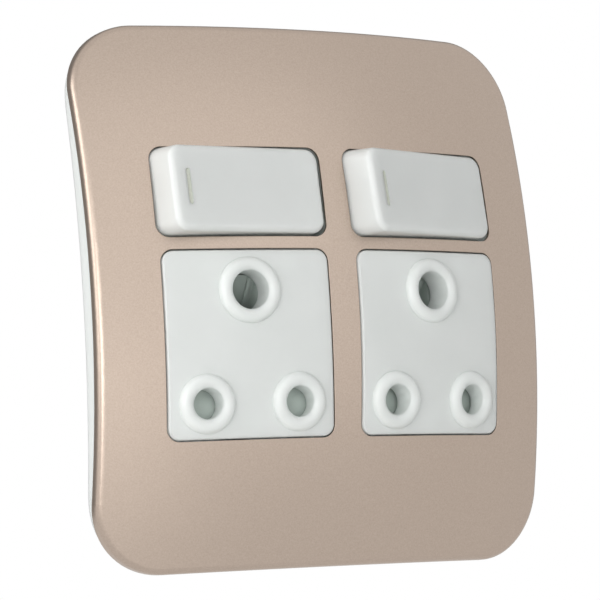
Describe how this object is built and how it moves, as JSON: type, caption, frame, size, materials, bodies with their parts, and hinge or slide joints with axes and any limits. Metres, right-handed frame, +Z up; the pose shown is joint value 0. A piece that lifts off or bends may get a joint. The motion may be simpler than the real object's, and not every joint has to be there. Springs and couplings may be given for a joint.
{
  "type": "switched double socket",
  "caption": "Domed metal wall plate carrying switched socket modules for round-pin plugs, with a rocker switch above each set of ringed pin entries.",
  "frame": {"origin": "middle of the wall face, midway between the two box screws", "axes": "+Y into the wall, +Z up, +X to the right for someone who faces the plate"},
  "size_m": [0.1342, 0.0479, 0.1412],
  "materials": {
    "champagne_metal": "satin anodised champagne",
    "white_plastic": "smooth semi-gloss white",
    "body_plastic": "plain matt white",
    "shutter_plastic": "plain grey-green",
    "brass": "plain rolled brass",
    "steel": "zinc plated"
  },
  "bodies": {
    "housing": {"cover_plate": "champagne_metal", "backing_frame": "white_plastic", "left_socket_front": "white_plastic", "left_module_body": "body_plastic", "left_earth_contact": "brass", "left_neutral_contact": "brass", "left_live_contact": "brass", "left_line_terminal": "brass", "left_terminal_screws": "steel", "left_case_screws": "steel", "left_module_screws": "steel", "right_socket_front": "white_plastic", "right_module_body": "body_plastic", "right_earth_contact": "brass", "right_neutral_contact": "brass", "right_live_contact": "brass", "right_line_terminal": "brass", "right_terminal_screws": "steel", "right_case_screws": "steel", "right_module_screws": "steel"},
    "left_rocker": {"left_rocker": "white_plastic", "left_plunger": "body_plastic", "left_plunger_spring": "steel"},
    "left_moving_contact": {"left_moving_contact": "brass"},
    "left_shutter": {"left_shutter": "shutter_plastic", "left_shutter_springs": "steel"},
    "right_rocker": {"right_rocker": "white_plastic", "right_plunger": "body_plastic", "right_plunger_spring": "steel"},
    "right_moving_contact": {"right_moving_contact": "brass"},
    "right_shutter": {"right_shutter": "shutter_plastic", "right_shutter_springs": "steel"}
  },
  "joints": [
    {"name": "left_rocker_tilt", "type": "hinge", "parent": "housing", "child": "left_rocker", "pos_m": [-0.02719, -0.0176, 0.0256], "axis": [0, 0, -1], "range_deg": [0, 18.2]},
    {"name": "left_contact_tilt", "type": "hinge", "parent": "housing", "child": "left_moving_contact", "pos_m": [-0.02585, -0.00628, 0.0256], "axis": [0, 0, 1], "range_deg": [0, 14]},
    {"name": "left_shutter_slide", "type": "slide", "parent": "housing", "child": "left_shutter", "axis": [0, 0, 1], "range_m": [0, 0.0088], "stiffness_N_per_m": 60, "springref_m": -0.004, "deforming": ["left_shutter_springs"]},
    {"name": "right_rocker_tilt", "type": "hinge", "parent": "housing", "child": "right_rocker", "pos_m": [0.02719, -0.0176, 0.0256], "axis": [0, 0, -1], "range_deg": [0, 18.2]},
    {"name": "right_contact_tilt", "type": "hinge", "parent": "housing", "child": "right_moving_contact", "pos_m": [0.02585, -0.00628, 0.0256], "axis": [0, 0, 1], "range_deg": [0, 14]},
    {"name": "right_shutter_slide", "type": "slide", "parent": "housing", "child": "right_shutter", "axis": [0, 0, 1], "range_m": [0, 0.0088], "stiffness_N_per_m": 60, "springref_m": -0.004, "deforming": ["right_shutter_springs"]}
  ],
  "couplings": [
    {"joint": "left_contact_tilt", "follows": "left_rocker_tilt", "ratio": 0.769},
    {"joint": "right_contact_tilt", "follows": "right_rocker_tilt", "ratio": 0.769}
  ]
}
